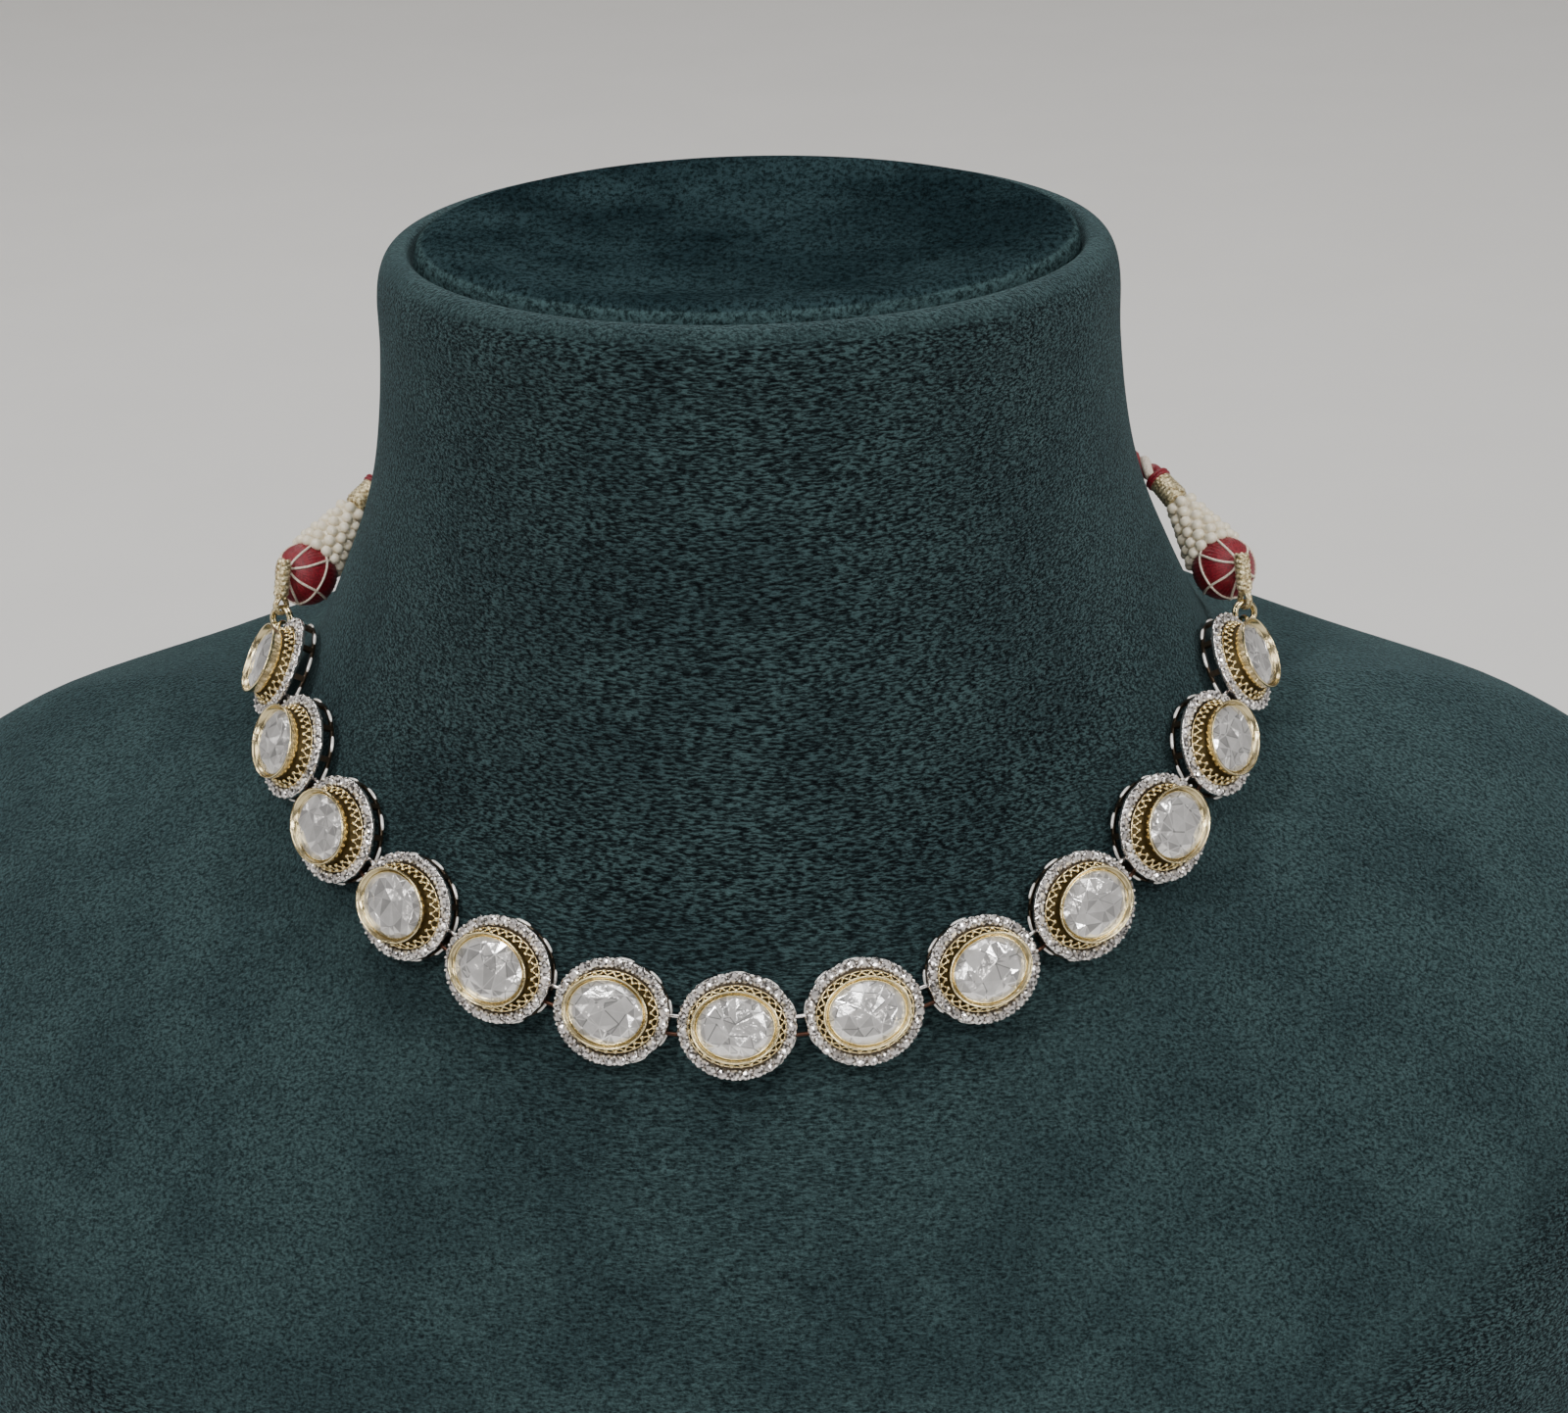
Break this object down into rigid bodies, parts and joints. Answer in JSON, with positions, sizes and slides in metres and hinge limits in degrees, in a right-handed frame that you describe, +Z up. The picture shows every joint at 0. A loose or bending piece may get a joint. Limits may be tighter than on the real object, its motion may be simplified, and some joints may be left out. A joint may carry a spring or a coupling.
{
  "type": "kundan necklace on a velvet neck bust",
  "caption": "Necklace of oval stone settings joined by small rings, with beaded string ends and a cord tied behind, resting on a dark green velvet neck bust.",
  "frame": {"origin": "on the flat base of the bust, under the middle of the neck", "axes": "+Z up, the bust and the necklace face -Y, +X to the right of a viewer in front"},
  "size_m": [0.284, 0.1802, 0.19],
  "materials": {
    "velvet": "crushed dark blue-green velvet",
    "gold": "polished gold with dark recesses",
    "stone": "clear to milky cut stone over bright foil",
    "gold_thread": "pale gold twisted thread",
    "red_thread": "deep red thread",
    "cream_beads": "cream pearly seed beads",
    "cord_thread": "twisted red and pale gold thread"
  },
  "bodies": {
    "root": {"bust": "velvet", "setting_01": "gold", "setting_02": "gold", "setting_03": "gold", "setting_04": "gold", "setting_05": "gold", "setting_06": "gold", "setting_07": "gold", "setting_08": "gold", "setting_09": "gold", "setting_10": "gold", "setting_11": "gold", "setting_12": "gold", "setting_13": "gold", "stone_01": "stone", "stone_02": "stone", "stone_03": "stone", "stone_04": "stone", "stone_05": "stone", "stone_06": "stone", "stone_07": "stone", "stone_08": "stone", "stone_09": "stone", "stone_10": "stone", "stone_11": "stone", "stone_12": "stone", "stone_13": "stone", "link_ring_01": "gold", "link_ring_02": "gold", "link_ring_03": "gold", "link_ring_04": "gold", "link_ring_05": "gold", "link_ring_06": "gold", "link_ring_07": "gold", "link_ring_08": "gold", "link_ring_09": "gold", "link_ring_10": "gold", "link_ring_11": "gold", "link_ring_12": "gold", "end_ring_left": "gold", "end_ring_right": "gold", "braid_left": "gold_thread", "braid_right": "gold_thread", "ball_left": "red_thread", "ball_right": "red_thread", "cone_left": "cream_beads", "cone_right": "cream_beads", "whipping_left": "gold_thread", "whipping_right": "gold_thread", "dori_cord": "cord_thread", "slider": "gold_thread"}
  },
  "joints": []
}
